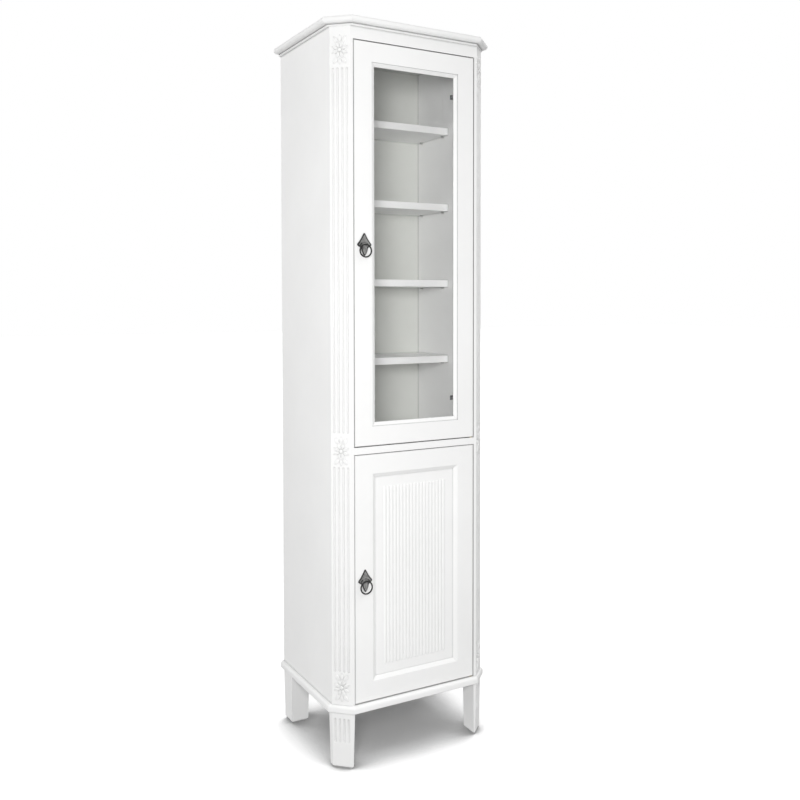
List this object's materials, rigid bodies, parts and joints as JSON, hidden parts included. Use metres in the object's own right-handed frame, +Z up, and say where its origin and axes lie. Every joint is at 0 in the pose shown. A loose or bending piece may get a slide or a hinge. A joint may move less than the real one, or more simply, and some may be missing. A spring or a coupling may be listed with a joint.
{
  "type": "tall bathroom cabinet",
  "caption": "Tall white cabinet with fluted corner posts, a glazed upper door, a reeded lower door and ring pulls.",
  "frame": {"origin": "centre of the bounding box's bottom, on the floor", "axes": "+Z up, +Y towards the back, +X to the cabinet's right seen from the front"},
  "size_m": [0.492, 0.394, 1.903],
  "materials": {
    "paint": "satin",
    "back": "matte",
    "glass": "polished",
    "pewter": "satin",
    "steel": "brushed",
    "brass": "satin",
    "catch": "matte",
    "clip": "matte"
  },
  "bodies": {
    "carcass": {"left_side_panel": "paint", "right_side_panel": "paint", "back_panel": "back", "left_front_post": "paint", "right_front_post": "paint", "frieze_rail": "paint", "cornice_bead": "paint", "top_board": "paint", "mid_board": "paint", "base_board": "paint", "front_left_foot": "paint", "front_right_foot": "paint", "rear_left_foot": "paint", "rear_right_foot": "paint", "shelf_1": "paint", "shelf_2": "paint", "shelf_3": "paint", "shelf_4": "paint", "lower_shelf": "paint", "shelf_pins": "steel", "pivot_pins": "steel", "thrust_washers": "brass", "magnet_catches": "catch", "foot_bolts": "steel"},
    "upper_door": {"upper_door_left_stile": "paint", "upper_door_right_stile": "paint", "upper_door_top_rail": "paint", "upper_door_bottom_rail": "paint", "glass_pane": "glass", "glass_clips": "clip", "upper_door_bushes": "brass", "upper_strike_plate": "steel", "upper_handle_plate": "pewter", "upper_handle_eye": "pewter", "upper_handle_nut": "pewter"},
    "upper_ring": {"upper_ring": "pewter"},
    "lower_door": {"lower_door_left_stile": "paint", "lower_door_right_stile": "paint", "lower_door_top_rail": "paint", "lower_door_bottom_rail": "paint", "lower_door_panel": "paint", "lower_door_bushes": "brass", "lower_strike_plate": "steel", "lower_handle_plate": "pewter", "lower_handle_eye": "pewter", "lower_handle_nut": "pewter"},
    "lower_ring": {"lower_ring": "pewter"}
  },
  "joints": [
    {"name": "upper_door_hinge", "type": "hinge", "parent": "carcass", "child": "upper_door", "pos_m": [0.1715, -0.1725, 1.3368], "axis": [0, 0, 1], "range_deg": [0, 105]},
    {"name": "lower_door_hinge", "type": "hinge", "parent": "carcass", "child": "lower_door", "pos_m": [0.1715, -0.1725, 0.48615], "axis": [0, 0, 1], "range_deg": [0, 105]},
    {"name": "upper_ring_pivot", "type": "hinge", "parent": "upper_door", "child": "upper_ring", "pos_m": [-0.15, -0.186, 1.338], "axis": [-1, 0, 0], "range_deg": [0, 95]},
    {"name": "lower_ring_pivot", "type": "hinge", "parent": "lower_door", "child": "lower_ring", "pos_m": [-0.15, -0.186, 0.482], "axis": [-1, 0, 0], "range_deg": [0, 95]}
  ]
}
